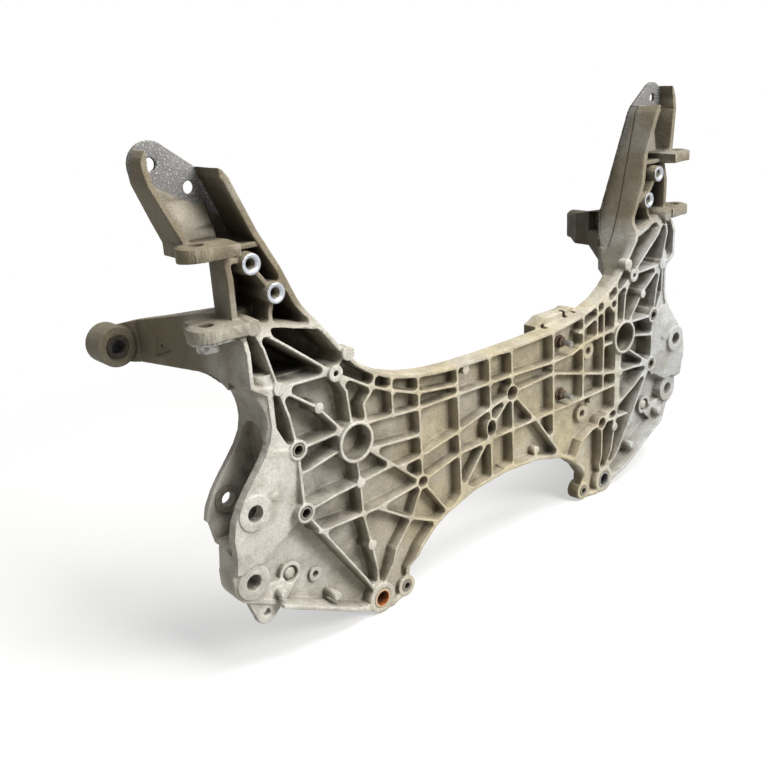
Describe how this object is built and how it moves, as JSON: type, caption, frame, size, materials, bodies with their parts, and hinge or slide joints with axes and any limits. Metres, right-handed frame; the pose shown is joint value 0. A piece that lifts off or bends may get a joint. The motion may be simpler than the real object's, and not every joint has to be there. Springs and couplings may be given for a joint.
{
  "type": "front axle subframe",
  "caption": "Cast light-alloy front subframe: ribbed plate with horns, body mount towers, control arm clevises and bush consoles, with pressed steel inserts.",
  "frame": {"origin": "middle of the plate's width and of the depth, at the lowest point of the rear bosses", "axes": "+X across the car towards the right tower, +Y from the rib face to the tower ends, +Z from the rear bosses to the horns"},
  "size_m": [0.715, 0.185, 0.4635],
  "materials": {
    "cast_alloy": "as cast, dull, road dirt in the pockets",
    "zinc_steel": "zinc plated, dull",
    "rusty_steel": "surface rust",
    "dark_steel": "phosphated, oily"
  },
  "bodies": {
    "root": {"casting": "cast_alloy", "rear_sleeve_left": "rusty_steel", "upper_stud_nut": "rusty_steel", "lower_stud_nut": "rusty_steel", "tower_sleeve_left": "zinc_steel", "tower_sleeve_right": "zinc_steel", "rear_sleeve_right": "zinc_steel", "plug_left": "zinc_steel", "plug_right": "zinc_steel", "upper_stud": "zinc_steel", "lower_stud": "zinc_steel", "clip_nut": "zinc_steel", "stay_insert_front_left": "dark_steel", "stay_insert_rear_left": "dark_steel", "pivot_insert_left": "dark_steel", "lug_insert_left": "dark_steel", "stay_insert_front_right": "dark_steel", "stay_insert_rear_right": "dark_steel", "pivot_insert_right": "dark_steel", "lug_insert_right": "dark_steel"}
  },
  "joints": []
}
